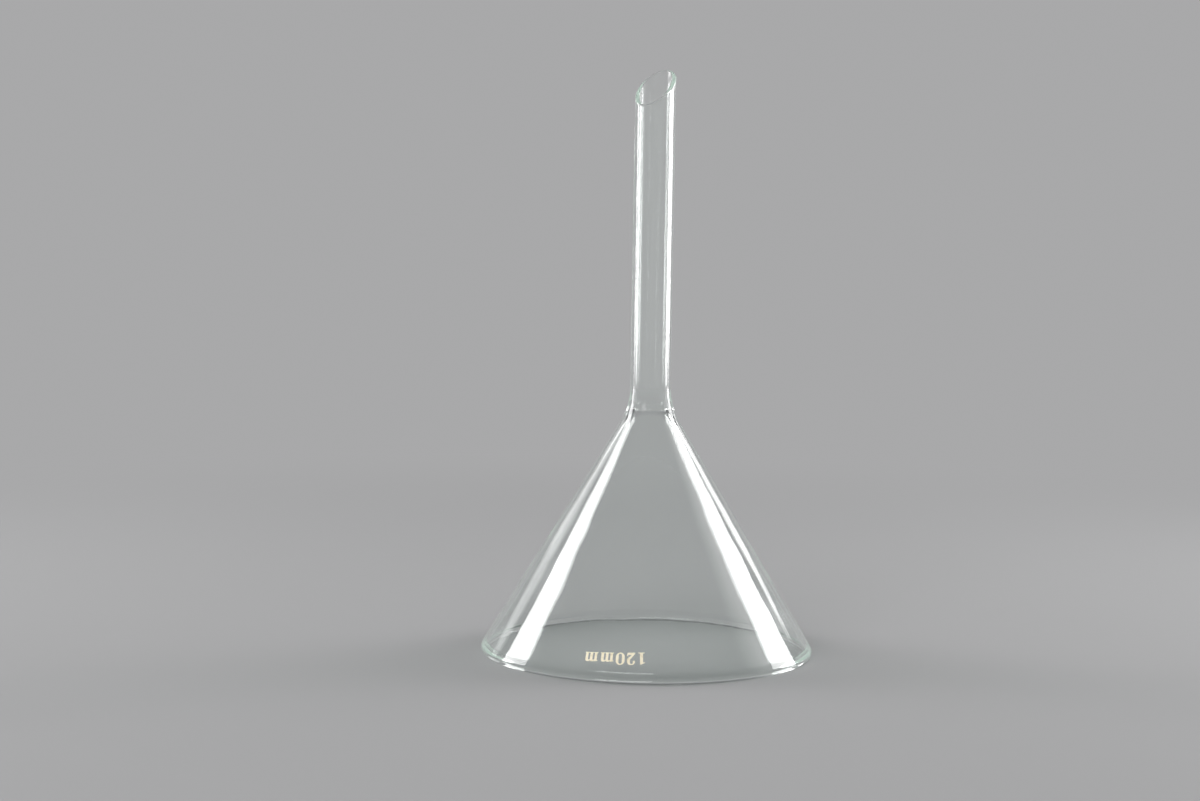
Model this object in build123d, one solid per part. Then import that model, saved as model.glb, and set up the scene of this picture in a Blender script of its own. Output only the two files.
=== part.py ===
from build123d import *
from math import cos, radians, tan
import os

# A plain glass filter funnel, stood rim down on the bench with its stem up.
# Millimetres, +Z up along the stem, origin at the centre of the rim's contact ring.
# The low lip of the slanted stem tip faces -Y.

# Cone and its rim
rim_diameter = 120.0  # over the widest part of the rounded rim
cone_half_angle = 31.2  # between the cone's wall and the axis, in degrees
cone_wall = 1.8  # square to the wall
rim_thickness = 2.6  # the rim is melted back to more than the wall
rim_round = 1.1  # radius of the rim's melted corners
rim_shoulder = 2.1  # height of the rim's widest edge

# Stem
stem_diameter = 14.5
stem_wall = 1.6
stem_length = 121.8  # from where the stem's side would meet the cone's to the long lip
tip_slant = 44.5  # between the tip's cut and the level, in degrees
tip_round = 0.75  # the cut is fire polished, so its edges are round

# Joint between stem and cone
neck_flare = 28.0  # outside, the stem flares into the cone in one long sweep
neck_crease = 0.8  # inside, the bore meets the cone at a much tighter corner

slope = tan(radians(cone_half_angle))
rim_radius = rim_diameter / 2
stem_radius = stem_diameter / 2
bore_radius = stem_radius - stem_wall
wall_across = cone_wall / cos(radians(cone_half_angle))  # the wall measured level
apex = rim_shoulder + rim_radius / slope  # where the cone's outside would close to a point
neck_height = apex - stem_radius / slope
tip_rise = stem_radius * tan(radians(tip_slant))
tip_centre = neck_height + stem_length - tip_rise


def height_inside(radius):
    """Height at which the cone's inside has this radius."""
    return apex - (radius + wall_across) / slope


def half_section():
    """The section of stem, cone and rim on one side of the axis, with the stem uncut."""
    uncut = neck_height + stem_length + tip_rise
    rim_inside = rim_radius - rim_thickness
    outline = [
        ((stem_radius, uncut), None),
        ((stem_radius, neck_height), neck_flare),
        ((rim_radius, rim_shoulder), rim_round),
        ((rim_radius, 0), rim_round),
        ((rim_inside, 0), rim_round),
        ((rim_inside, height_inside(rim_inside)), rim_thickness),
        ((bore_radius, height_inside(bore_radius)), neck_crease),
        ((bore_radius, uncut), None),
    ]
    points = [point for point, rounding in outline]
    roundings = [rounding for point, rounding in outline if rounding]
    with BuildSketch(Plane.XZ) as section:
        with BuildLine():
            FilletPolyline(*points, radius=roundings)
            Line(points[-1], points[0])
        make_face()
    return section.sketch


def make_funnel():
    """The whole funnel, one piece of glass blown and fused."""
    blank = revolve(half_section(), axis=Axis.Z)
    cut = Plane(origin=(0, 0, tip_centre), z_dir=Vector(0, 0, 1).rotate(Axis.X, tip_slant))
    cut_to_length = split(blank, bisect_by=cut, keep=Keep.BOTTOM)
    tip_face = cut_to_length.faces().sort_by(Axis.Z)[-1]
    return fillet(tip_face.edges(), tip_round)


os.makedirs("parts", exist_ok=True)
funnel = make_funnel()
export_step(funnel, "parts/funnel.step")
print("height", round(funnel.bounding_box().max.Z, 2), "volume", round(funnel.volume / 1000, 2), "cm3")
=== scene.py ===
from math import acos, atan2, cos, pi, radians, sin, tan

import bmesh
import bpy
from mathutils import Matrix, Vector, noise


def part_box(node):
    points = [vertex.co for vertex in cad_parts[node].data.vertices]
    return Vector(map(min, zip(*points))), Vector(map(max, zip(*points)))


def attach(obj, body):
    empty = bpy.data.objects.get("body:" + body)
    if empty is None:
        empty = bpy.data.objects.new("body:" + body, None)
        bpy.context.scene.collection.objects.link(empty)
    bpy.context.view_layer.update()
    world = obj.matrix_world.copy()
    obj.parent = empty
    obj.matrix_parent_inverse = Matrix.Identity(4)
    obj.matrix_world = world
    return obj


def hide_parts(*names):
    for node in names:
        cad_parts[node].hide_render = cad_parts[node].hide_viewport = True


# Clear glass filter funnel, rim down on a pale bench. Metres, in the same frame as the solid.

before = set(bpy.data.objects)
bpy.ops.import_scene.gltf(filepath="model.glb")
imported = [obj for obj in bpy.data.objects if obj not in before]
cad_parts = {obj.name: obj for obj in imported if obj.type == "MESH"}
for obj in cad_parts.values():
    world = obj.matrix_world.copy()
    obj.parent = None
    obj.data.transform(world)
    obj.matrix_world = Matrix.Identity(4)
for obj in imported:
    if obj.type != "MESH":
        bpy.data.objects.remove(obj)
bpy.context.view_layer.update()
boxLow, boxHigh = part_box("funnel")
mm = 0.001
print("frame loaded, solid box", [round(high - low, 4) for low, high in zip(boxLow, boxHigh)])


# Outlines, used by the glass section and by the printed figures

def roundCorner(before, corner, after, radius, steps):  # the points of the arc that rounds a corner
    corner = Vector(corner)
    toBefore = (Vector(before) - corner).normalized()
    toAfter = (Vector(after) - corner).normalized()
    half = acos(max(-1.0, min(1.0, toBefore.dot(toAfter)))) / 2
    centre = corner + (toBefore + toAfter).normalized() * radius / sin(half)
    first = corner + toBefore * radius / tan(half) - centre
    last = corner + toAfter * radius / tan(half) - centre
    start = atan2(first.y, first.x)
    turn = (atan2(last.y, last.x) - start + pi) % (2 * pi) - pi
    angles = [start + turn * i / steps for i in range(steps + 1)]
    return [centre + Vector((cos(a), sin(a))) * radius for a in angles]


def steppedRun(first, last, count, guard):  # points inside a straight run, with one close to each end
    length = (last - first).length
    near = min(guard / length, 0.2)
    spots = [near + (1 - 2 * near) * i / count for i in range(count + 1)]
    return [first.lerp(last, spot) for spot in spots]


# The glass: one section, turned about the axis, with the stem's end cut at a slant

glass = {
    "coneHalfAngle": radians(31.2),
    "coneWall": 1.8 * mm,
    "rimThickness": 2.6 * mm,
    "rimRound": 1.1 * mm,
    "rimShoulder": 2.1 * mm,
    "stemRadius": 7.25 * mm,
    "stemWall": 1.6 * mm,
    "tipSlant": radians(44.5),
    "tipRound": 0.75 * mm,
    "stemLength": 121.8 * mm,
    "neckFlare": 28.0 * mm,
    "neckCrease": 0.8 * mm,
    "guard": 0.12 * mm,  # distance of the loops that keep a straight run straight beside an arc
    "around": 224,
    "coneWaver": 0.12 * mm,  # how far the blown cone strays from a true one
    "coneWaverSize": 15 * mm,
    "fineWaver": 0.045 * mm,
    "fineWaverSize": 7 * mm,
    "coneWaverSpan": (11 * mm, 21 * mm, 72 * mm, 86 * mm),  # heights where it starts, is full, starts to ease, ends
    "stemWaver": 0.022 * mm,  # draw lines of the tube
    "stemWaverSize": (2.6 * mm, 70 * mm),  # across and up
    "stemWaverSpan": (88 * mm, 108 * mm, 182 * mm, 192 * mm),
}


def glassSection(lean):  # corners of the section where the tip's cut rises outward by lean
    slope = tan(glass["coneHalfAngle"])
    rimRadius = min(boxHigh.x, boxHigh.y, -boxLow.x, -boxLow.y)
    stem = glass["stemRadius"]
    bore = stem - glass["stemWall"]
    wallAcross = glass["coneWall"] / cos(glass["coneHalfAngle"])
    apex = glass["rimShoulder"] + rimRadius / slope
    neck = apex - stem / slope
    tip = neck + glass["stemLength"] - stem * tan(glass["tipSlant"])
    inside = rimRadius - glass["rimThickness"]
    mouth = apex - (inside + wallAcross) / slope
    crease = apex - (bore + wallAcross) / slope
    return [  # radius, height, rounding, arc steps, steps in the run to the next corner
        (stem, tip + stem * lean, glass["tipRound"], 9, 44),
        (stem, neck, glass["neckFlare"], 22, 40),
        (rimRadius, glass["rimShoulder"], glass["rimRound"], 5, 2),
        (rimRadius, 0, glass["rimRound"], 10, 2),
        (inside, 0, glass["rimRound"], 10, 2),
        (inside, mouth, glass["rimThickness"], 7, 38),
        (bore, crease, glass["neckCrease"], 8, 48),
        (bore, tip + bore * lean, glass["tipRound"], 9, 3),
    ]


def coneOutside(height):  # radius of the cone's straight outside
    (rimRadius, shoulder) = glassSection(0)[2][:2]
    return rimRadius - (height - shoulder) * tan(glass["coneHalfAngle"])


def sectionPoints(corners):
    arcs = []
    for i, (radius, height, rounding, steps, run) in enumerate(corners):
        before, after = corners[i - 1][:2], corners[(i + 1) % len(corners)][:2]
        arcs.append(roundCorner(before, (radius, height), after, rounding, steps))
    points = []
    for i, arc in enumerate(arcs):
        following = arcs[(i + 1) % len(arcs)][0]
        points += arc + steppedRun(arc[-1], following, corners[i][4], glass["guard"])
    return points


def shareOf(height, span):  # 1 in the middle of the span, easing to 0 at both its ends
    start, full, easing, end = span
    return min(1, max(0, (height - start) / (full - start))) * min(1, max(0, (end - height) / (end - easing)))


def strayed(radius, height, angle):  # a point of the glass, moved as hand work would move it
    x, y = radius * cos(angle), radius * sin(angle)
    spot = Vector((x, y, height))
    across, along = glass["stemWaverSize"]
    coneStray = glass["coneWaver"] * noise.noise(spot / glass["coneWaverSize"])
    coneStray += glass["fineWaver"] * noise.noise(spot / glass["fineWaverSize"])
    stemStray = glass["stemWaver"] * noise.noise(Vector((x / across, y / across, height / along)))
    stray = coneStray * shareOf(height, glass["coneWaverSpan"]) + stemStray * shareOf(height, glass["stemWaverSpan"])
    return ((radius + stray) * cos(angle), (radius + stray) * sin(angle), height)


def turnedGlass(name):
    around = glass["around"]
    points, faces = [], []
    for j in range(around):
        angle = 2 * pi * j / around
        ring = sectionPoints(glassSection(sin(angle) * tan(glass["tipSlant"])))
        points += [strayed(p.x, p.y, angle) for p in ring]
    count = len(ring)
    for j in range(around):
        here, there = j * count, (j + 1) % around * count
        for i in range(count):
            k = (i + 1) % count
            faces.append((here + i, here + k, there + k, there + i))
    mesh = bpy.data.meshes.new(name)
    mesh.from_pydata(points, [], faces)
    shape = bmesh.new()
    shape.from_mesh(mesh)
    bmesh.ops.recalc_face_normals(shape, faces=shape.faces)
    if shape.calc_volume(signed=True) < 0:
        bmesh.ops.reverse_faces(shape, faces=shape.faces)
    shape.to_mesh(mesh)
    shape.free()
    mesh.polygons.foreach_set("use_smooth", [True] * len(mesh.polygons))
    piece = bpy.data.objects.new(name, mesh)
    bpy.context.scene.collection.objects.link(piece)
    return piece


funnelGlass = turnedGlass("funnelGlass")
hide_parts("funnel")
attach(funnelGlass, "root")
print("glass turned,", len(funnelGlass.data.polygons), "faces")

# The size figure: a film of enamel on the cone beside the rim, its top toward the rim

figure = {
    "text": "120mm",
    "digitHeight": 4.35 * mm,
    "middleHeight": 8.0 * mm,  # above the bench, to the middle of the figures
    "azimuth": radians(-67.9),  # of the middle of the word, from +X
    "tilt": radians(2.6),
    "gap": 0.16,  # between figures, in digit heights
    "proud": 0.05 * mm,
    "sunk": 0.04 * mm,
    "arcSteps": 6,
}

figureShapes = {  # widths and outlines in digit heights: x, y and rounding of each corner
    "1": (0.66, [[
        (0.07, 0, 0), (0.60, 0, 0), (0.60, 0.05, 0), (0.46, 0.09, 0.03), (0.46, 1.0, 0.02), (0.40, 1.0, 0.02),
        (0.07, 0.86, 0), (0.07, 0.80, 0), (0.22, 0.83, 0.03), (0.22, 0.09, 0.03), (0.07, 0.05, 0),
    ]]),
    "2": (0.69, [[
        (0.02, 0, 0), (0.62, 0, 0.01), (0.69, 0.28, 0), (0.63, 0.28, 0), (0.56, 0.19, 0.05), (0.28, 0.19, 0.02),
        (0.66, 0.52, 0.14), (0.67, 1.02, 0.29), (0.03, 1.02, 0.28), (0.03, 0.66, 0.07), (0.21, 0.66, 0.07),
        (0.21, 0.93, 0.09), (0.42, 0.93, 0.10), (0.43, 0.58, 0.10), (0.02, 0.10, 0),
    ]]),
    "0": (0.70, [[
        (0, -0.01, 0.34), (0.70, -0.01, 0.34), (0.70, 1.01, 0.34), (0, 1.01, 0.34),
    ], [
        (0.22, 0.09, 0.128), (0.48, 0.09, 0.128), (0.48, 0.91, 0.128), (0.22, 0.91, 0.128),
    ]]),
    "m": (1.12, [[
        (0.02, 0, 0), (0.36, 0, 0), (0.36, 0.05, 0), (0.29, 0.08, 0.02), (0.29, 0.63, 0.07), (0.45, 0.63, 0.07),
        (0.45, 0.08, 0.02), (0.39, 0.05, 0), (0.39, 0, 0), (0.73, 0, 0), (0.73, 0.05, 0), (0.66, 0.08, 0.02),
        (0.66, 0.63, 0.07), (0.82, 0.63, 0.07), (0.82, 0.08, 0.02), (0.76, 0.05, 0), (0.76, 0, 0), (1.10, 0, 0),
        (1.10, 0.05, 0), (1.03, 0.08, 0.02), (1.03, 0.77, 0.18), (0.72, 0.77, 0.12), (0.65, 0.67, 0),
        (0.61, 0.77, 0.12), (0.36, 0.77, 0.10), (0.29, 0.67, 0), (0.29, 0.77, 0.02), (0.02, 0.72, 0),
        (0.02, 0.67, 0), (0.09, 0.64, 0.02), (0.09, 0.08, 0.02), (0.02, 0.05, 0),
    ]]),
}


def roundedOutline(corners):
    points = []
    for i, (x, y, rounding) in enumerate(corners):
        before, after = corners[i - 1][:2], corners[(i + 1) % len(corners)][:2]
        points += roundCorner(before, (x, y), after, rounding, figure["arcSteps"]) if rounding else [Vector((x, y))]
    return points


def onTheCone(across, up, lift):  # from the word's middle, in metres, to the glass
    lean, tilt = glass["coneHalfAngle"], figure["tilt"]
    across, up = across * cos(tilt) - up * sin(tilt), across * sin(tilt) + up * cos(tilt)
    height = figure["middleHeight"] - up * cos(lean)
    radius = coneOutside(height)
    angle = figure["azimuth"] - across / coneOutside(figure["middleHeight"])
    radius += lift * cos(lean)
    return (radius * cos(angle), radius * sin(angle), height + lift * sin(lean))


def enamelFigure(name):
    flat = bmesh.new()
    unit = figure["digitHeight"]
    widths = [figureShapes[letter][0] for letter in figure["text"]]
    wordWidth = sum(widths) + figure["gap"] * (len(widths) - 1)
    start = -wordWidth / 2
    for letter, width in zip(figure["text"], widths):
        edges = []
        for outline in figureShapes[letter][1]:
            corners = [((p.x + start) * unit, (p.y - 0.5) * unit, -figure["sunk"]) for p in roundedOutline(outline)]
            loop = [flat.verts.new(corner) for corner in corners]
            edges += [flat.edges.new((loop[i - 1], loop[i])) for i in range(len(loop))]
        bmesh.ops.triangle_fill(flat, use_beauty=True, use_dissolve=False, edges=edges)
        start += width + figure["gap"]
    raised = bmesh.ops.extrude_face_region(flat, geom=flat.faces[:], use_keep_orig=True)["geom"]
    for part in raised:
        if isinstance(part, bmesh.types.BMVert):
            part.co.z = figure["proud"]
    for corner in flat.verts:
        corner.co = onTheCone(*corner.co)
    bmesh.ops.recalc_face_normals(flat, faces=flat.faces)
    mesh = bpy.data.meshes.new(name)
    flat.to_mesh(mesh)
    flat.free()
    piece = bpy.data.objects.new(name, mesh)
    bpy.context.scene.collection.objects.link(piece)
    return piece


sizeFigure = enamelFigure("sizeFigure")
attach(sizeFigure, "root")
print("size figure fired on,", len(sizeFigure.data.polygons), "faces")


# Materials

def newMaterial(name):
    material = bpy.data.materials.new(name)
    material.use_nodes = True
    material.node_tree.nodes.clear()
    return material, material.node_tree.nodes, material.node_tree.links


def addNode(nodes, kind, **values):
    node = nodes.new(kind)
    for key, value in values.items():
        setattr(node, key, value)
    return node


def combine(nodes, links, operation, first, second, **values):  # a maths node fed by two sockets
    node = addNode(nodes, "ShaderNodeMath", operation=operation, **values)
    links.new(first, node.inputs[0])
    links.new(second, node.inputs[1])
    return node.outputs["Value"]


def easeBetween(nodes, links, value, low, high):  # 0 at low, 1 at high, with a soft start and end
    node = addNode(nodes, "ShaderNodeMapRange", interpolation_type="SMOOTHSTEP")
    node.inputs["From Min"].default_value, node.inputs["From Max"].default_value = low, high
    links.new(value, node.inputs["Value"])
    return node.outputs["Result"]


def socketOf(group, name, kind, way, value=None):
    socket = group.interface.new_socket(name=name, in_out=way, socket_type=kind)
    if value is not None:
        socket.default_value = value


speckle = {
    "detail": 5,
    "roughness": 0.6,
}


def speckleGroup():  # soft patches of handling and dust, from 0 to 1
    group = bpy.data.node_groups.new("handledSpeckle", "ShaderNodeTree")
    for name, value in (("Size", 200.0), ("Stretch Up", 1.0), ("From", 0.45), ("To", 0.75), ("Strength", 1.0)):
        socketOf(group, name, "NodeSocketFloat", "INPUT", value)
    socketOf(group, "Mask", "NodeSocketFloat", "OUTPUT")
    nodes, links = group.nodes, group.links
    given = addNode(nodes, "NodeGroupInput")
    place = addNode(nodes, "ShaderNodeTexCoord")
    squash = addNode(nodes, "ShaderNodeCombineXYZ")
    squash.inputs["X"].default_value = squash.inputs["Y"].default_value = 1
    links.new(given.outputs["Stretch Up"], squash.inputs["Z"])
    spot = addNode(nodes, "ShaderNodeVectorMath", operation="MULTIPLY")
    links.new(place.outputs["Object"], spot.inputs[0])
    links.new(squash.outputs["Vector"], spot.inputs[1])
    patches = addNode(nodes, "ShaderNodeTexNoise")
    patches.inputs["Detail"].default_value = speckle["detail"]
    patches.inputs["Roughness"].default_value = speckle["roughness"]
    links.new(spot.outputs["Vector"], patches.inputs["Vector"])
    links.new(given.outputs["Size"], patches.inputs["Scale"])
    cut = addNode(nodes, "ShaderNodeMapRange", interpolation_type="SMOOTHSTEP")
    links.new(patches.outputs["Fac"], cut.inputs["Value"])
    links.new(given.outputs["From"], cut.inputs["From Min"])
    links.new(given.outputs["To"], cut.inputs["From Max"])
    links.new(given.outputs["Strength"], cut.inputs["To Max"])
    out = addNode(nodes, "NodeGroupOutput")
    links.new(cut.outputs["Result"], out.inputs["Mask"])
    return group


handledSpeckle = speckleGroup()


def addSpeckle(nodes, **values):
    node = addNode(nodes, "ShaderNodeGroup", node_tree=handledSpeckle)
    for name, value in values.items():
        node.inputs[name.replace("_", " ")].default_value = value
    return node


glassFinish = {
    "tint": (0.98, 0.995, 0.988, 1),
    "ior": 1.473,
    "roughness": 0.0,
    "hazeRoughness": 0.24,
    "haze": {"Size": 70.0, "From": 0.38, "To": 0.70, "Strength": 0.35},
    "stemStreaks": {"Size": 520.0, "Stretch_Up": 0.03, "From": 0.36, "To": 0.72, "Strength": 0.6},
    "stemStreaksFrom": (88 * mm, 100 * mm),  # heights where the streaks start and are full
    "ripples": {"Size": 55.0, "Stretch_Up": 16.0, "From": 0.3, "To": 0.7},
    "rippleHeight": 0.001 * mm,
    "bodyTint": (0.60, 0.86, 0.75, 1),
    "bodyDensity": 7.0,
    # painted glow: the pale green emission colour that replaces light after many bounces inside the wall
    "paintedWallGlow": (0.54, 0.63, 0.575, 1),
    "deepAfter": 3,  # turns inside the wall
    "shadowClear": (0.93, 0.95, 0.94, 1),
    "shadowEdge": (0.45, 0.48, 0.47, 1),
    "shadowBlend": 0.35,
}


def clearGlass():
    material, nodes, links = newMaterial("clearGlass")
    shader = addNode(nodes, "ShaderNodeBsdfPrincipled")
    shader.inputs["Base Color"].default_value = glassFinish["tint"]
    shader.inputs["Roughness"].default_value = glassFinish["roughness"]
    shader.inputs["IOR"].default_value = glassFinish["ior"]
    shader.inputs["Transmission Weight"].default_value = 1
    shader.inputs["Coat Roughness"].default_value = glassFinish["hazeRoughness"]
    haze = addSpeckle(nodes, **glassFinish["haze"])
    streaks = addSpeckle(nodes, **glassFinish["stemStreaks"])
    place = addNode(nodes, "ShaderNodeTexCoord")
    split = addNode(nodes, "ShaderNodeSeparateXYZ")
    links.new(place.outputs["Object"], split.inputs["Vector"])
    onStem = easeBetween(nodes, links, split.outputs["Z"], *glassFinish["stemStreaksFrom"])
    onlyStem = combine(nodes, links, "MULTIPLY", onStem, streaks.outputs["Mask"])
    handled = combine(nodes, links, "MAXIMUM", onlyStem, haze.outputs["Mask"])
    links.new(handled, shader.inputs["Coat Weight"])
    ripples = addSpeckle(nodes, **glassFinish["ripples"])
    bump = addNode(nodes, "ShaderNodeBump")
    bump.inputs["Distance"].default_value = glassFinish["rippleHeight"]
    links.new(ripples.outputs["Mask"], bump.inputs["Height"])
    links.new(bump.outputs["Normal"], shader.inputs["Normal"])
    lightPath = addNode(nodes, "ShaderNodeLightPath")
    passes = addNode(nodes, "ShaderNodeBsdfTransparent")
    edge = addNode(nodes, "ShaderNodeLayerWeight")
    edge.inputs["Blend"].default_value = glassFinish["shadowBlend"]
    shade = addNode(nodes, "ShaderNodeMix", data_type="RGBA")
    shade.inputs["A"].default_value = glassFinish["shadowClear"]
    shade.inputs["B"].default_value = glassFinish["shadowEdge"]
    links.new(edge.outputs["Facing"], shade.inputs["Factor"])
    links.new(shade.outputs["Result"], passes.inputs["Color"])
    shadowRay, diffuseRay = lightPath.outputs["Is Shadow Ray"], lightPath.outputs["Is Diffuse Ray"]
    letThrough = combine(nodes, links, "MAXIMUM", shadowRay, diffuseRay)
    mix = addNode(nodes, "ShaderNodeMixShader")
    links.new(letThrough, mix.inputs["Fac"])
    links.new(shader.outputs["BSDF"], mix.inputs[1])
    links.new(passes.outputs["BSDF"], mix.inputs[2])
    paintedWallGlow = addNode(nodes, "ShaderNodeEmission")  # painted glow: a pale green emission stands in for the light that has bounced more than three times inside the wall
    paintedWallGlow.inputs["Color"].default_value = glassFinish["paintedWallGlow"]
    deep = addNode(nodes, "ShaderNodeMath", operation="GREATER_THAN")
    deep.inputs[1].default_value = glassFinish["deepAfter"]
    links.new(lightPath.outputs["Glossy Depth"], deep.inputs[0])
    whole = addNode(nodes, "ShaderNodeMixShader")
    links.new(deep.outputs["Value"], whole.inputs["Fac"])
    links.new(mix.outputs["Shader"], whole.inputs[1])
    links.new(paintedWallGlow.outputs["Emission"], whole.inputs[2])
    body = addNode(nodes, "ShaderNodeVolumeAbsorption")
    body.inputs["Color"].default_value = glassFinish["bodyTint"]
    body.inputs["Density"].default_value = glassFinish["bodyDensity"]
    out = addNode(nodes, "ShaderNodeOutputMaterial")
    links.new(whole.outputs["Shader"], out.inputs["Surface"])
    links.new(body.outputs["Volume"], out.inputs["Volume"])
    material.cycles.emission_sampling = "NONE"
    return material


funnelGlass.data.materials.append(clearGlass())

enamelFinish = {
    "colour": (0.95, 0.87, 0.68, 1),
    "thinColour": (0.78, 0.68, 0.47, 1),
    "roughness": 0.35,
    "thinPatches": {"Size": 900.0, "From": 0.48, "To": 0.74},
}


def firedEnamel():
    material, nodes, links = newMaterial("firedEnamel")
    shader = addNode(nodes, "ShaderNodeBsdfPrincipled")
    shader.inputs["Roughness"].default_value = enamelFinish["roughness"]
    thin = addSpeckle(nodes, **enamelFinish["thinPatches"])
    colour = addNode(nodes, "ShaderNodeMix", data_type="RGBA")
    colour.inputs["A"].default_value = enamelFinish["colour"]
    colour.inputs["B"].default_value = enamelFinish["thinColour"]
    links.new(thin.outputs["Mask"], colour.inputs["Factor"])
    links.new(colour.outputs["Result"], shader.inputs["Base Color"])
    out = addNode(nodes, "ShaderNodeOutputMaterial")
    links.new(shader.outputs["BSDF"], out.inputs["Surface"])
    return material


sizeFigure.data.materials.append(firedEnamel())


# Camera, at the photograph's own place

camera = {
    "azimuth": radians(33),
    "distance": 850 * mm,
    "height": 170.0 * mm,
    "down": radians(5.302),
    "left": radians(1.225),
    "roll": radians(0.878),
    "focalPixels": 2366.5,
    "frameWidth": 1200,
    "sensor": 36,
    "clip": (0.01, 60),
}


def placeCamera():
    down, left, roll = camera["down"], camera["left"], camera["roll"]
    forward = Vector((-sin(left) * cos(down), cos(left) * cos(down), -sin(down)))
    right = Vector((cos(left), sin(left), 0))
    up = right.cross(forward)
    across = cos(roll) * right + sin(roll) * up
    upright = cos(roll) * up - sin(roll) * right
    turn = Matrix.Rotation(camera["azimuth"], 4, "Z")
    pose = Matrix((across, upright, -forward)).transposed().to_4x4()
    pose.translation = Vector((0, -camera["distance"], camera["height"]))
    data = bpy.data.cameras.new("photoCamera")
    data.sensor_width = camera["sensor"]
    data.lens = camera["focalPixels"] / camera["frameWidth"] * camera["sensor"]
    data.clip_start, data.clip_end = camera["clip"]
    eye = bpy.data.objects.new("photoCamera", data)
    bpy.context.scene.collection.objects.link(eye)
    eye.matrix_world = turn @ pose
    bpy.context.scene.camera = eye


placeCamera()
print("camera placed")


# Bench, backdrop and lamps

studio = {
    "benchSize": 40.0,
    "benchDrop": 0.05 * mm,
    "benchColour": (0.36, 0.36, 0.365, 1),
    "benchRoughness": 0.8,
    "benchSheen": 0.2,
    "fadeFrom": 0.22,  # the bench melts into the backdrop between these distances
    "fadeTo": 0.62,
    "backdrop": (0.395, 0.395, 0.40, 1),
    "overhead": (0.10, 0.10, 0.105, 1),
    "darkens": (0.08, 0.5),  # sine of the elevation where the backdrop starts to darken, and where it is overhead
    "fill": 0.35,
    "lampFoot": 0.07,  # height over which each lamp fades in from the bench
}

lamps = [  # azimuth from the camera, lowest and highest edge above the bench, side or sides that fade
    {"name": "rightBox", "azimuth": 114, "distance": 0.9, "width": 0.36,
     "edges": (0.28, 1.0), "radiance": 8.0},
    {"name": "leftBox", "azimuth": -107.5, "distance": 0.9, "width": 0.32,
     "edges": (0.28, 1.0), "radiance": 8.0},
    {"name": "rightLow", "azimuth": 116, "distance": 0.9, "width": 0.29,
     "edges": (0.0, 0.28), "radiance": 8.0},
    {"name": "leftLow", "azimuth": -111, "distance": 0.9, "width": 0.17,
     "edges": (0.0, 0.28), "radiance": 9.0},
    {"name": "leftLowSoft", "azimuth": -98, "distance": 0.9, "width": 0.24,
     "edges": (0.0, 0.28), "radiance": 2.2, "fades": "left"},
    {"name": "rightSoft", "azimuth": 91, "distance": 0.9, "width": 0.34,
     "edges": (0.0, 1.1), "radiance": 1.6, "fades": "right"},
    {"name": "rightRear", "azimuth": 140, "distance": 1.2, "width": 0.2,
     "edges": (0.25, 0.9), "radiance": 3.0},
    {"name": "leftRear", "azimuth": -137, "distance": 1.2, "width": 0.4,
     "edges": (0.25, 0.9), "radiance": 1.0},
    {"name": "frontBox", "azimuth": -34, "distance": 1.6, "width": 0.9,
     "edges": (0.45, 1.15), "radiance": 3.5, "fades": "round"},
    {"name": "frontFill", "azimuth": -15, "distance": 1.6, "width": 1.2,
     "edges": (0.3, 1.2), "radiance": 5.5, "reflected": False},
]


def layBench():
    half = studio["benchSize"] / 2
    mesh = bpy.data.meshes.new("bench")
    z = -studio["benchDrop"]
    mesh.from_pydata([(-half, -half, z), (half, -half, z), (half, half, z), (-half, half, z)], [], [(0, 1, 2, 3)])
    bench = bpy.data.objects.new("bench", mesh)
    bpy.context.scene.collection.objects.link(bench)
    material, nodes, links = newMaterial("paleBench")
    shader = addNode(nodes, "ShaderNodeBsdfPrincipled")
    shader.inputs["Base Color"].default_value = studio["benchColour"]
    shader.inputs["Roughness"].default_value = studio["benchRoughness"]
    shader.inputs["Specular IOR Level"].default_value = studio["benchSheen"]
    backdrop = addNode(nodes, "ShaderNodeEmission")
    backdrop.inputs["Color"].default_value = studio["backdrop"]
    place = addNode(nodes, "ShaderNodeTexCoord")
    reach = addNode(nodes, "ShaderNodeVectorMath", operation="LENGTH")
    links.new(place.outputs["Object"], reach.inputs[0])
    fade = easeBetween(nodes, links, reach.outputs["Value"], studio["fadeFrom"], studio["fadeTo"])
    mix = addNode(nodes, "ShaderNodeMixShader")
    links.new(fade, mix.inputs["Fac"])
    links.new(shader.outputs["BSDF"], mix.inputs[1])
    links.new(backdrop.outputs["Emission"], mix.inputs[2])
    out = addNode(nodes, "ShaderNodeOutputMaterial")
    links.new(mix.outputs["Shader"], out.inputs["Surface"])
    material.cycles.emission_sampling = "NONE"
    mesh.materials.append(material)


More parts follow.
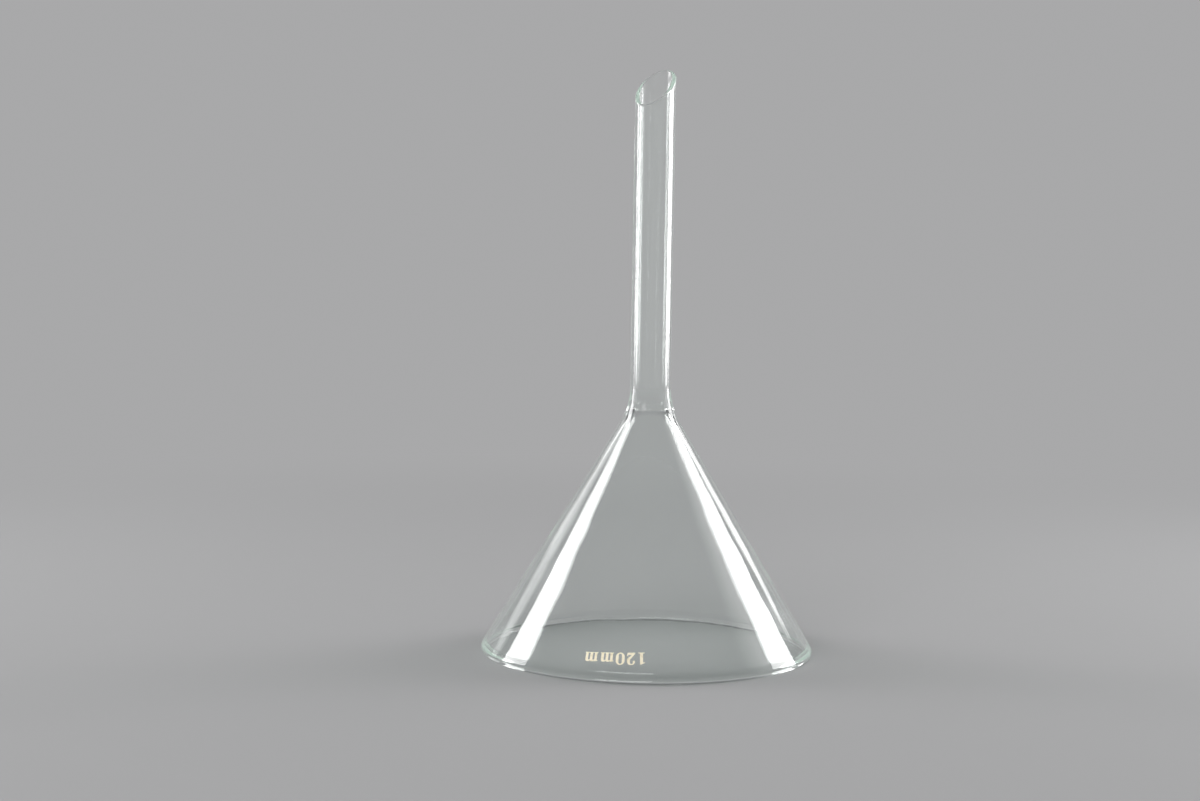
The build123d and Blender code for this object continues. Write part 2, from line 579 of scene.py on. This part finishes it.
def hangWorld():
    world = bpy.data.worlds.new("studioWorld")
    world.use_nodes = True
    nodes, links = world.node_tree.nodes, world.node_tree.links
    nodes.clear()
    place = addNode(nodes, "ShaderNodeTexCoord")
    split = addNode(nodes, "ShaderNodeSeparateXYZ")
    links.new(place.outputs["Generated"], split.inputs["Vector"])
    ramp = addNode(nodes, "ShaderNodeValToRGB")
    colours = (studio["backdrop"], studio["overhead"])
    for stop, position, colour in zip(ramp.color_ramp.elements, studio["darkens"], colours):
        stop.position, stop.color = position, colour
    links.new(split.outputs["Z"], ramp.inputs["Fac"])
    seen = addNode(nodes, "ShaderNodeBackground")
    links.new(ramp.outputs["Color"], seen.inputs["Color"])
    fill = addNode(nodes, "ShaderNodeBackground")
    fill.inputs["Strength"].default_value = studio["fill"]
    lightPath = addNode(nodes, "ShaderNodeLightPath")
    rays = lightPath.outputs
    direct = combine(nodes, links, "MAXIMUM", rays["Is Camera Ray"], rays["Is Glossy Ray"])
    anyOf = combine(nodes, links, "MAXIMUM", direct, rays["Is Transmission Ray"])
    mix = addNode(nodes, "ShaderNodeMixShader")
    links.new(anyOf, mix.inputs["Fac"])
    links.new(fill.outputs["Background"], mix.inputs[1])
    links.new(seen.outputs["Background"], mix.inputs[2])
    out = addNode(nodes, "ShaderNodeOutputWorld")
    links.new(mix.outputs["Shader"], out.inputs["Surface"])
    bpy.context.scene.world = world


def standLamp(lamp):
    data = bpy.data.lights.new(lamp["name"], "AREA")
    low, high = lamp["edges"]
    data.shape = "RECTANGLE"
    data.size, data.size_y = lamp["width"], high - low
    data.energy = lamp["radiance"] * pi * lamp["width"] * (high - low)
    box = bpy.data.objects.new(lamp["name"], data)
    bpy.context.scene.collection.objects.link(box)
    azimuth = camera["azimuth"] + radians(lamp["azimuth"])
    away = Vector((sin(azimuth), -cos(azimuth), 0))
    box.location = away * lamp["distance"] + Vector((0, 0, (low + high) / 2))
    box.rotation_euler = away.to_track_quat("Z", "Y").to_euler()
    box.visible_camera = False
    box.visible_glossy = lamp.get("reflected", True)
    dressLamp(data, lamp)


def dressLamp(data, lamp):
    data.use_nodes = True
    nodes, links = data.node_tree.nodes, data.node_tree.links
    nodes.clear()
    light = addNode(nodes, "ShaderNodeEmission")
    out = addNode(nodes, "ShaderNodeOutputLight")
    links.new(light.outputs["Emission"], out.inputs["Surface"])
    lightPath = addNode(nodes, "ShaderNodeLightPath")  # glass mirrors a lamp, but none shows straight through it
    outside = addNode(nodes, "ShaderNodeMath", operation="SUBTRACT")
    outside.inputs[0].default_value = 1
    links.new(lightPath.outputs["Is Transmission Ray"], outside.inputs[1])
    mirrored = lightPath.outputs["Glossy Depth"]
    strength = combine(nodes, links, "ADD", outside.outputs["Value"], mirrored, use_clamp=True)
    spot = addNode(nodes, "ShaderNodeNewGeometry")
    place = addNode(nodes, "ShaderNodeSeparateXYZ")
    links.new(spot.outputs["Position"], place.inputs["Vector"])
    fades = [easeBetween(nodes, links, place.outputs["Z"], 0, studio["lampFoot"])]
    if "fades" in lamp:
        split = addNode(nodes, "ShaderNodeSeparateXYZ")
        links.new(spot.outputs["Parametric"], split.inputs["Vector"])
        if lamp["fades"] == "round":
            fades += [fromTheEnds(nodes, links, split.outputs[way]) for way in "XY"]
        else:
            across = addNode(nodes, "ShaderNodeMapRange")
            sides = (0, 1) if lamp["fades"] == "right" else (1, 0)
            across.inputs["From Min"].default_value, across.inputs["From Max"].default_value = sides
            links.new(split.outputs["X"], across.inputs["Value"])
            fades.append(across.outputs["Result"])
    for fade in fades:
        strength = combine(nodes, links, "MULTIPLY", strength, fade)
    links.new(strength, light.inputs["Strength"])


def fromTheEnds(nodes, links, along):  # 0 at both ends of the lamp, 1 in its middle
    fromMiddle = addNode(nodes, "ShaderNodeMath", operation="SUBTRACT")
    links.new(along, fromMiddle.inputs[0])
    fromMiddle.inputs[1].default_value = 0.5
    off = addNode(nodes, "ShaderNodeMath", operation="ABSOLUTE")
    links.new(fromMiddle.outputs["Value"], off.inputs[0])
    return easeBetween(nodes, links, off.outputs["Value"], 0.5, 0)


layBench()
hangWorld()
for lamp in lamps:
    standLamp(lamp)
bpy.context.scene.view_settings.view_transform = "Standard"
print("studio lit")
